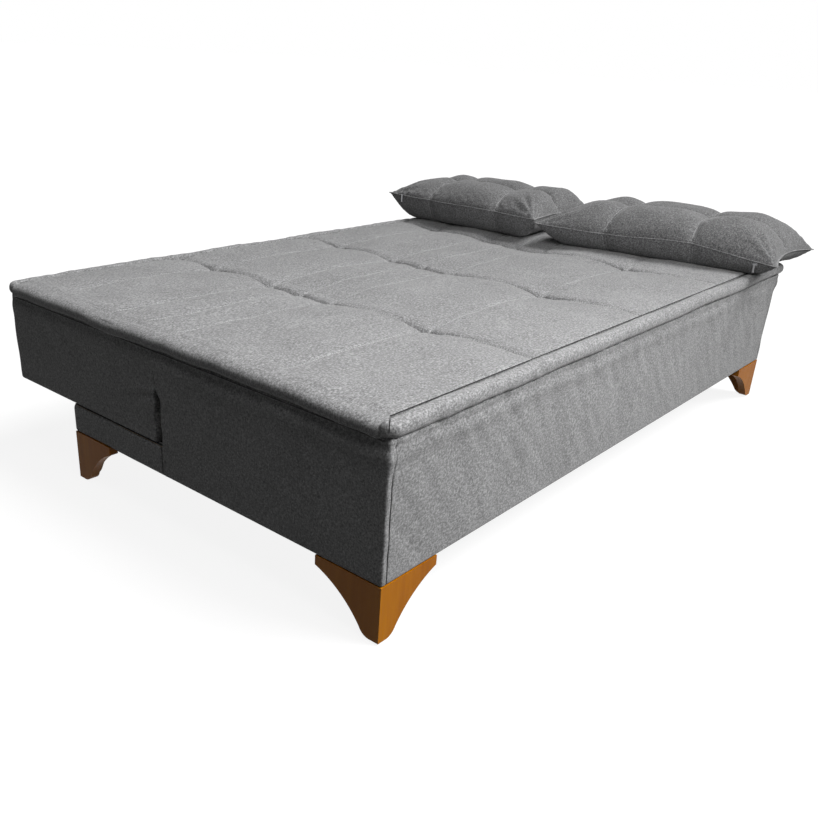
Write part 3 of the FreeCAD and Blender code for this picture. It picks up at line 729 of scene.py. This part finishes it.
def make_back_skirt():
    """The cover round the back: rear side, both ends, and a fold at each end above the slot."""
    left, right, rear = PANEL_LEFT, PANEL_RIGHT, PANEL_REAR
    tuck = 0.03
    start = BACK_FRONT + 0.0015
    points = [(right - tuck, start), (right, start), (right, rear), (left, rear),
              (left, start), (left + tuck, start)]
    path, out = bent_path(points, [0.003, 0.006, 0.006, 0.003], 0.008)
    base = side_relief(41, 0.002)

    def shape(s, x, y, z):
        relief = base(s, x, y, z)
        slot_top = BACK_BOTTOM + 0.105
        at_end = bell(y - BACK_FRONT, 0.05)
        fold_line = slot_top + 0.004 - 0.30 * np.maximum(y - BACK_FRONT, 0)
        relief -= 0.0045 * bell(z - fold_line, 0.006) * bell(y - BACK_FRONT, 0.075)
        relief += 0.0050 * bell(z - fold_line - 0.011, 0.007) * bell(y - BACK_FRONT, 0.085)
        second = slot_top + 0.018 - 0.05 * (y - BACK_FRONT)
        relief -= 0.0025 * bell(z - second, 0.005) * bell(y - BACK_FRONT - 0.02, 0.05)
        relief += 0.0045 * bell(z - (fold_line - 0.018), 0.014) * at_end
        relief += 0.002 * bell(z - (fold_line + 0.022), 0.018) * at_end
        return relief

    def closing(y, z):
        """Above the slot the back's cover reaches forward to the crease."""
        return (PIVOT_Y + 0.0008 - start) * (1 - smoothstep(y, start, start + 0.03)) * above_slot(z)

    profile = upright_profile(BACK_BOTTOM, ROLL_LOW + 0.006, 0.02, 0.012, 0.006)
    make_skirt("back_skirt", path, out, profile, shape, "backrest",
               ["back_end_cover_left", "back_end_cover_right", "back_rear_cover"],
               [(left + 0.016, rear), (right - 0.016, rear)], closing)


def make_ledge_skirt():
    """The cover round the low rear part of the base."""
    left, right = PANEL_LEFT, PANEL_RIGHT
    start = SEAT_REAR - 0.012
    points = [(right, start), (right, BASE_REAR), (left, BASE_REAR), (left, start)]
    path, out = bent_path(points, [0.006, 0.006], 0.006)
    profile = upright_profile(BODY_BOTTOM, LEDGE_TOP, 0.018, 0.010, 0.008)

    def shape(s, x, y, z):
        flat = np.stack([s, z], -1)
        relief = 0.0008 * ripples(flat, 0.16, 51)
        under_seat = 1 - smoothstep(y, SEAT_REAR - 0.003, SEAT_REAR + 0.004)
        return relief * (1 - under_seat) - 0.0012 * under_seat

    make_skirt("ledge_skirt", path, out, profile, shape, "base",
               ["ledge_end_cover_left", "ledge_end_cover_right", "ledge_rear_cover"],
               [(left + 0.016, BASE_REAR), (right - 0.016, BASE_REAR)])


HIDDEN_SHEETS = (
    ("seat_rear_panel", "seat_rear_cover", 1, "base", "sofa_cloth"),
    ("ledge_top_panel", "ledge_top_cover", 2, "base", "lining_cloth"),
    ("back_inner_panel", "back_inner_cover", 1, "backrest", "sofa_cloth"),
    ("back_under_panel", "back_under_cover", 2, "backrest", "lining_cloth"),
    ("base_under_panel", "base_lining", 2, "base", "lining_cloth"),
)


def make_hidden_sheet(name, node, axis, body, slot):
    """A thin stretched panel that fills a CAD cover's place, drawn in a little at its edges."""
    low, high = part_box(node)
    first, second = [a for a in range(3) if a != axis]
    us, vs = [np.linspace(low[a], high[a], max(6, int((high[a] - low[a]) / 0.02))) for a in (first, second)]
    gu, gv = np.meshgrid(us, vs, indexing="ij")
    edge = np.minimum(np.minimum(gu - us[0], us[-1] - gu), np.minimum(gv - vs[0], vs[-1] - gv))
    middle = (low[axis] + high[axis]) / 2
    half = (high[axis] - low[axis]) / 2
    unevenness = 0.75 + 0.15 * ripples(np.stack([gu, gv], -1), 0.14, 61)
    rise = 0.9 * half * smoothstep(edge, 0, 0.012) * unevenness
    layers = []
    for side in (1, -1):
        layer = np.zeros(gu.shape + (3,))
        layer[..., first] = gu
        layer[..., second] = gv
        layer[..., axis] = middle + side * (0.0003 + rise)
        layers.append(layer.reshape(-1, 3))
    sheet = make_mesh(name, np.vstack(layers), sheet_faces(*gu.shape), SLOT_MATERIALS[slot])
    weld(sheet)
    belongs(sheet, body, [node])


# ---------------------------------------------------------------- stitching
def make_stitches(name, runs, body=None, pitch=0.0062, length=0.0042, radius=0.0008):
    """Separate stitches along each run, a list of points: short spindles that dip at both ends."""
    verts = []
    faces = []
    around = 5
    for run in runs:
        along = along_path(run)
        for start in np.arange(pitch / 2, along[-1] - length, pitch):
            stations = [start + length * t for t in (0.0, 0.2, 0.8, 1.0)]
            centre = np.array([[np.interp(place, along, run[:, a]) for a in range(3)] for place in stations])
            way = centre[-1] - centre[0]
            way /= np.linalg.norm(way)
            side = np.cross(way, (0.13, 0.21, 0.97))
            side /= np.linalg.norm(side)
            faces += tube_faces(4, around, len(verts))
            for spot, size in zip(centre, (0.45, 1.0, 1.0, 0.45)):
                verts += ring_round(spot, side, np.cross(side, way), radius * size, around)
    belongs(make_mesh(name, verts, faces, THREAD), body)


def make_cords(name, runs, body=None, radius=0.0009):
    """Painted shade along seams and grooves: a thin near-black cord laid along each run of points."""
    verts = []
    faces = []
    around = 6
    for run in runs:
        way = np.gradient(run, axis=0)
        way /= np.linalg.norm(way, axis=1)[:, None]
        side = np.cross(way, (0.31, 0.23, 0.92))
        side /= np.linalg.norm(side, axis=1)[:, None]
        up = np.cross(side, way)
        faces += tube_faces(len(run), around, len(verts))
        for k, spot in enumerate(run):
            verts += ring_round(spot, side[k], up[k], radius, around)
    belongs(make_mesh(name, verts, faces, SEAM_SHADE), body)


def line_points(x, y, z):
    """Points of a straight line, where at least one of the three is a list and the others stay the same."""
    return np.stack(np.broadcast_arrays(x, y, z), -1)


def make_seam_cords(corner_outline):
    """Painted shade in the seams between top panel and roll, over the roll at the near corner and down the covers,
    and a painted shadow line under the left roll.
    """
    inset = PANEL_EDGE - 0.0006
    pitch = 0.008
    start, end = LEFT + WRAP_ACROSS, RIGHT - inset
    xs = np.arange(start, end, pitch)
    ys = np.arange(FRONT + inset, REAR - inset, pitch)
    roll_top = ROLL_LOW + ROLL_WIDTH - 0.0010
    runs = []
    for x, y, lowest in ((xs, np.full_like(xs, FRONT + inset), roll_top), (np.full_like(ys, end), ys, 0),
                         (xs, np.full_like(xs, REAR - inset), 0)):
        inner_x = np.clip(x, start, RIGHT - PANEL_EDGE)
        inner_y = np.clip(y, FRONT + PANEL_EDGE, REAR - PANEL_EDGE)
        runs.append(line_points(x, y, np.maximum(top_height(inner_x, inner_y) + 0.0004, lowest)))
    # Painted shadow: a near-black cord in the groove under the left roll, where the roll's overhang casts shade.
    roll_shadow_ys = np.arange(PANEL_FRONT + 0.012, PANEL_REAR - 0.012, pitch)
    runs.append(line_points(PANEL_LEFT - 0.0007, roll_shadow_ys, ROLL_LOW - 0.0045))
    make_cords("top_panel_seam_shade", runs)
    # Painted shade in the seams of the covers: round the roll at the near corner, down the front near that corner,
    # and in the joint at the left end.
    down_front = np.linspace(BODY_BOTTOM + 0.003, ROLL_LOW - 0.003, 30)
    down_side = np.linspace(BODY_BOTTOM + 0.003, LEDGE_TOP - 0.002, 8)
    make_cords("cover_seam_shade", [corner_outline,
                               line_points(PANEL_LEFT + 0.013, PANEL_FRONT + 0.0004, down_front),
                               line_points(PANEL_LEFT + 0.0004, SEAT_REAR, down_side)], "base")


def make_mattress_stitches():
    """A row of stitches beside each seam of the top; the long rows stop short of the tufts."""
    gap = 0.012
    pitch = 0.004
    beside_seam = 0.0022
    runs = []
    for seam in CROSS_SEAMS:
        ys = np.arange(FRONT + PANEL_EDGE + gap, REAR - PANEL_EDGE - gap, pitch)
        xs = np.full_like(ys, seam + beside_seam)
        runs.append(line_points(xs, ys, top_height(xs, ys) + 0.0001))
    stops = [LEFT + PANEL_EDGE] + CROSS_SEAMS + [RIGHT - PANEL_EDGE]
    for seam in LONG_SEAMS:
        for low, high in zip(stops, stops[1:]):
            xs = np.arange(low + gap, high - gap, pitch)
            ys = np.full_like(xs, seam - beside_seam)
            runs.append(line_points(xs, ys, top_height(xs, ys) + 0.0001))
    make_stitches("mattress_stitches", runs)


# ---------------------------------------------------------------- pillows
class Pillow:
    """Where a pillow lies and how it is shaped; u runs along it and v across it, both from -1 to 1."""

    def __init__(self, node, turn, half_long, half_wide, corners, seam_rise, seam_hump,
                 quilt, end_reach, seed):
        low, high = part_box(node)
        self.node = node
        self.centre = np.array(((low[0] + high[0]) / 2, (low[1] + high[1]) / 2))
        self.bottom = low[2] + 0.0006
        self.thick = high[2] - low[2]
        self.turn = math.radians(turn)
        self.half_long = half_long
        self.half_wide = half_wide
        self.corners = corners
        self.seam_rise = seam_rise
        self.seam_hump = seam_hump
        self.quilt = quilt
        self.end_reach = end_reach
        self.seed = seed

    def seam_height(self, u, v):
        """Height of the seam above the pillow's underside, raised a little at the four corners."""
        rise = self.seam_rise + self.seam_hump * bell(u + 0.25, 0.45)
        for (cu, cv), (_, _, lift) in self.corners.items():
            rise = rise + lift * ((1 + cu * u) / 2) ** 3 * ((1 + cv * v) / 2) ** 3
        return rise

    def plan(self, u, v):
        """Place in plan: a rectangle whose sides are drawn in between its pulled-out corners."""
        along = self.half_long * u * (1 - 0.055 * (1 - v ** 2))
        across = self.half_wide * v * (1 - 0.045 * (1 - u ** 2))
        for place in self.quilt:
            pinched = bell((u - place) * self.half_long, 0.016) * np.abs(v) ** 4
            across = across - 0.007 * np.sign(v) * pinched
        for (cu, cv), (shift_across, shift_along, _) in self.corners.items():
            weight = ((1 + cu * u) / 2) ** 2 * ((1 + cv * v) / 2) ** 2
            across = across + shift_across * weight
            along = along + shift_along * weight
        c, s = math.cos(self.turn), math.sin(self.turn)
        return self.centre[0] + across * c - along * s, self.centre[1] + across * s + along * c

    def fullness(self, u, v, underside=False):
        """How full the pillow is, from 0 at its seam to 1 once well inside it."""
        to_side = (1 - np.abs(v)) * self.half_wide
        to_end = (1 - np.abs(u)) * self.half_long
        end_reach = np.where(u > 0, self.end_reach[1], self.end_reach[0])
        if underside:
            end_reach = np.maximum(end_reach * 0.55, 0.070)
            return climb(to_side, 0.045, 2.0, 0.62) * climb(to_end, end_reach, 2.0, 0.62)
        return climb(to_side, 0.135, 2.1, 0.68) * climb(to_end, end_reach, 2.2, 0.62)

    def quilting(self, u, v, across_depth, along_depth):
        """Depth of the sewn channels: two across and one along the middle, with round puffs between."""
        x = u * self.half_long
        y = v * self.half_wide
        depth = np.zeros_like(u)
        for place in self.quilt:
            line = np.abs(x - place * self.half_long)
            depth += across_depth * (1 - climb(line, 0.085, 2.2, 0.62))
            depth += 0.0014 * bell(line - 0.004, 0.002)
        line = np.abs(y)
        depth += along_depth * (1 - climb(line, 0.080, 2.2, 0.62)) + 0.0014 * bell(line - 0.004, 0.002)
        for place in self.quilt:
            away = np.hypot(x - place * self.half_long, y)
            depth += 0.3 * along_depth * np.exp(-away / 0.022)
        return depth


def climb(distance, reach, sharp, power):
    """A rounded shoulder: 0 at distance 0, steep at first, and level at 1 from the reach on."""
    t = np.clip(distance / reach, 0, 1)
    return (1 - (1 - t) ** sharp) ** power


def pillow_sheet(pillow, us, vs, top):
    """One side of a pillow as a grid of points, top or underside."""
    u, v = np.meshgrid(us, vs, indexing="ij")
    x, y = pillow.plan(u, v)
    seam = pillow.seam_height(u, v)
    to_end = (1 - np.abs(u)) * pillow.half_long
    to_side = (1 - np.abs(v)) * pillow.half_wide
    edge = np.minimum(to_end, to_side)
    gather = ripples(np.stack([u * 3.0, v * 2.0], -1), 0.16, pillow.seed)
    pucker = 0.0022 * np.exp(-edge / 0.035) * gather * smoothstep(edge, 0.0, 0.006)
    corner = np.hypot(to_end, to_side)
    angle = np.arctan2(to_side, to_end + 1e-6)
    crimp = 0.0036 * np.sin(angle * 14 + pillow.seed) * bell(corner - 0.05, 0.045) * smoothstep(edge, 0, 0.01)
    soft = 0.0020 * ripples(np.stack([x, y], -1), 0.10, pillow.seed + 3)
    if top:
        full = pillow.fullness(u, v)
        height = seam + (pillow.thick + 0.002 - seam) * full
        height -= pillow.quilting(u, v, 0.019, 0.024) * np.clip(full * 1.5, 0, 1) ** 0.8
        height += pucker + crimp + soft * full
    else:
        full = pillow.fullness(u, v, underside=True)
        height = seam * (1 - full)
        height += pillow.quilting(u, v, 0.010, 0.004) * 4 * full * (1 - full)
        height = np.maximum(height - 0.5 * crimp - 0.5 * pucker, 0.0)
    return np.stack([x, y, pillow.bottom + height], -1)


def spread(count, reach=1):
    """Grid lines from one end to the other, closer together towards both."""
    t = np.linspace(-reach, reach, count)
    return np.sin(t * math.pi / 2) * 0.55 + t * 0.45


def quilt_lines(lines, places, half):
    """Adds grid lines beside each sewn channel, so that its stitches sink in."""
    offsets = [offset / half for offset in (0.0, 0.002, 0.004, 0.0065, 0.011)]
    extra = [v for v in beside(places, offsets) if -1 < v < 1]
    return thinned(list(lines) + extra, 0.0008 / half, 1.0)


def make_pillow(pillow, name):
    """A pillow's two sides, joined all round, with its edge seam and its quilting stitches."""
    us = quilt_lines(spread(96), pillow.quilt, pillow.half_long)
    vs = quilt_lines(spread(64), [0.0], pillow.half_wide)
    upper = pillow_sheet(pillow, us, vs, True)
    lower = pillow_sheet(pillow, us, vs, False)
    rows, columns = upper.shape[:2]
    rim = rim_numbers(rows, columns)
    verts = np.vstack([upper.reshape(-1, 3), lower.reshape(-1, 3)])
    count = rows * columns
    faces = [tuple(reversed(f)) for f in grid_faces(rows, columns)]
    faces += [tuple(count + v for v in f) for f in grid_faces(rows, columns)]
    faces += wall([count + v for v in rim], rim)
    cushion = make_mesh(name, verts, faces, PILLOW_CLOTH)
    weld(cushion, 0.0002)
    belongs(cushion, pillow.node, [pillow.node])
    make_pillow_seam(pillow, name)
    make_pillow_stitches(pillow, name)


def seam_line(pillow, count=90):
    """Points along the edge seam, once round the pillow."""
    t = np.linspace(-1, 1, count)
    one = np.ones_like(t)
    sides = [(t, -one), (one, t), (-t, one), (-one, -t)]
    points = []
    for u, v in sides:
        x, y = pillow.plan(u[:-1], v[:-1])
        z = pillow.bottom + pillow.seam_height(u[:-1], v[:-1])
        points.append(np.stack([x, y, z], -1))
    return np.vstack(points)


def make_pillow_seam(pillow, name):
    """The narrow sewn ridge along the pillow's edge, in the lighter sofa cloth: a painted highlight along the
    piping.
    """
    line = seam_line(pillow)
    centre = line.mean(axis=0)
    tangent = np.roll(line, -1, axis=0) - np.roll(line, 1, axis=0)
    tangent /= np.linalg.norm(tangent, axis=1)[:, None]
    out = np.column_stack([tangent[:, 1], -tangent[:, 0], np.zeros(len(line))])
    out *= np.sign(np.sum(out * (line - centre), axis=1))[:, None]
    ring = [(0.0022, 0.0), (0.0014, 0.0013), (-0.0015, 0.0016), (-0.003, 0.0), (-0.0015, -0.0016),
            (0.0014, -0.0013)]
    verts = []
    for point, away in zip(line, out):
        verts += [point + away * across + np.array((0, 0, up)) for across, up in ring]
    faces = grid_faces(len(line), len(ring), wrap_rows=True, wrap_columns=True)
    # The lighter sofa cloth, not the pillow cloth, paints a highlight along the seam ridge.
    seam = make_mesh(name + "_seam", verts, faces, CLOTH)
    weld(seam)
    belongs(seam, pillow.node)


def make_pillow_stitches(pillow, name):
    """Double rows of stitches in the channels: across on both sides, and along the middle on top."""
    dense = spread(120, 0.985)
    row_shifts = (-0.004, 0.004)
    runs = []
    for top in (True, False):
        for place in pillow.quilt:
            for shift in row_shifts:
                u = place + shift / pillow.half_long
                runs.append(pillow_sheet(pillow, np.array([u]), dense, top)[0])
    for shift in row_shifts:
        v = shift / pillow.half_wide
        runs.append(pillow_sheet(pillow, dense, np.array([v]), True)[:, 0])
    make_stitches(name + "_stitches", runs, pillow.node, pitch=0.0058, length=0.004, radius=0.0005)


def make_pillows():
    """Both pillows; each corner is pulled across, along and up by the three amounts beside it."""
    near, far, left, right = -1, 1, 1, -1
    front_corners = {
        (left, near): (-0.022, 0.048, 0.009),
        (right, near): (0.022, -0.004, -0.016),
        (right, far): (0.004, -0.036, -0.012),
        (left, far): (0.0, 0.0, 0.0),
    }
    rear_corners = {
        (left, near): (-0.014, 0.014, 0.010),
        (right, near): (0.0, -0.004, 0.0),
        (right, far): (0.0, 0.0, 0.0),
        (left, far): (0.004, 0.010, 0.0),
    }
    front = Pillow("pillow_front", 6.5, 0.335, 0.190, front_corners, seam_rise=0.050, seam_hump=0.018,
                   quilt=(-0.30, 0.42), end_reach=(0.135, 0.165), seed=71)
    rear = Pillow("pillow_rear", 1.5, 0.274, 0.190, rear_corners, seam_rise=0.068, seam_hump=0.003,
                  quilt=(-0.46, 0.45), end_reach=(0.060, 0.150), seed=83)
    make_pillow(front, "front_pillow")
    make_pillow(rear, "rear_pillow")


# ---------------------------------------------------------------- camera, light and floor
CAMERA_PLACE = Vector((-1.95431, PIVOT_Y - 1.40775, 0.95469))
CAMERA_AZIMUTH, CAMERA_ELEVATION, CAMERA_ROLL = (math.radians(a) for a in (-51.358, 24.684, 3.433))
ROOM_LIGHT = 0.05         # light of the room, as strength of its white walls
SUN_POWER = 3.6
SUN_FROM = (0.50, -0.56, 0.95)
SUN_WIDTH = math.radians(36)
FRONT_POWER = 9.2         # soft light before and above the front edge
EDGE_POWER = 5.5          # narrow light straight above the left edge roll


def make_camera():
    """The camera stands off the near left corner, in the frame's own metres."""
    azimuth, elevation = CAMERA_AZIMUTH, CAMERA_ELEVATION
    back = Vector((math.sin(azimuth) * math.cos(elevation), -math.cos(azimuth) * math.cos(elevation),
                   math.sin(elevation)))
    level = Vector((math.cos(azimuth), math.sin(azimuth), 0))
    right = level * math.cos(CAMERA_ROLL) + back.cross(level) * math.sin(CAMERA_ROLL)
    data = bpy.data.cameras.new("camera")
    data.sensor_width = 36
    data.lens = 38.70
    data.shift_x = 0.0241
    data.shift_y = 0.0564
    camera = bpy.data.objects.new("camera", data)
    turn = Matrix((right, back.cross(right), back)).transposed().to_4x4()
    camera.matrix_world = Matrix.Translation(CAMERA_PLACE) @ turn
    bpy.context.scene.collection.objects.link(camera)
    bpy.context.scene.camera = camera


def add_area(name, place, target, size, power):
    """A rectangular lamp aimed at a target, that the camera itself doesn't see."""
    data = bpy.data.lights.new(name, "AREA")
    data.shape = "RECTANGLE"
    data.size, data.size_y = size
    data.energy = power
    lamp = bpy.data.objects.new(name, data)
    lamp.location = place
    aim = (Vector(target) - Vector(place)).to_track_quat("-Z", "Y")
    lamp.rotation_euler = aim.to_euler()
    lamp.visible_camera = False
    bpy.context.scene.collection.objects.link(lamp)


def make_light():
    """A white room that the camera sees, a dim one for the light, a wide soft sun and two lamps."""
    world = bpy.data.worlds.new("studio")
    world.use_nodes = True
    tree = world.node_tree
    seen = tree.nodes.new("ShaderNodeLightPath").outputs["Is Camera Ray"]
    room = tree.nodes["Background"]
    backdrop = tree.nodes.new("ShaderNodeBackground")
    for light, strength in ((room, ROOM_LIGHT), (backdrop, 1.0)):
        light.inputs["Color"].default_value = (1, 1, 1, 1)
        light.inputs["Strength"].default_value = strength
    mix = tree.nodes.new("ShaderNodeMixShader")
    tree.links.new(seen, mix.inputs["Fac"])
    tree.links.new(room.outputs["Background"], mix.inputs[1])
    tree.links.new(backdrop.outputs["Background"], mix.inputs[2])
    tree.links.new(mix.outputs["Shader"], tree.nodes["World Output"].inputs["Surface"])
    bpy.context.scene.world = world
    sun = bpy.data.lights.new("key_light", "SUN")
    sun.energy = SUN_POWER
    sun.angle = SUN_WIDTH
    lamp = bpy.data.objects.new("key_light", sun)
    lamp.rotation_euler = Vector(SUN_FROM).to_track_quat("Z", "Y").to_euler()
    bpy.context.scene.collection.objects.link(lamp)
    add_area("front_light", (-0.35, -1.15, 1.05), (-0.35, -0.40, 0.4), (1.7, 0.4), FRONT_POWER)
    add_area("edge_light", (-1.00, -0.25, 1.90), (-0.99, -0.25, 0.4), (0.2, 1.2), EDGE_POWER)
    bpy.context.scene.view_settings.view_transform = "Standard"
    bpy.context.scene.view_settings.look = "None"
    bpy.context.scene.view_settings.exposure = 0.0


FLOOR_REACH = 60.0
FLOOR_GLOW = 0.88         # makes the floor nearly as white as the room, so that only a faint shadow shows


def make_floor():
    """A pale floor that throws no light back up at the sofa."""
    material, tree, shader, place = new_material("floor_paper")
    clouds = add_noise(tree, place, 1.2, 2.0, 0.5)
    tree.links.new(colour_ramp(tree, clouds, [(0.3, (0.17, 0.17, 0.17)), (0.7, (0.19, 0.19, 0.19))]),
                   shader.inputs["Base Color"])
    shader.inputs["Emission Color"].default_value = (1, 1, 1, 1)
    shader.inputs["Emission Strength"].default_value = FLOOR_GLOW
    shader.inputs["Roughness"].default_value = 0.9
    shader.inputs["Specular IOR Level"].default_value = 0.1
    corners = [(x * FLOOR_REACH, y * FLOOR_REACH, -0.001) for x, y in ((-1, -1), (1, -1), (1, 1), (-1, 1))]
    floor = make_mesh("floor", corners, [(0, 1, 2, 3)], material)
    floor.visible_diffuse = False


make_camera()
paint_cad_nodes()
make_mattress()
corner_outline = make_edge_roll()
make_seat_skirt()
make_back_skirt()
make_ledge_skirt()
for hidden_sheet in HIDDEN_SHEETS:
    make_hidden_sheet(*hidden_sheet)
make_mattress_stitches()
make_seam_cords(corner_outline)
make_pillows()
make_light()
make_floor()
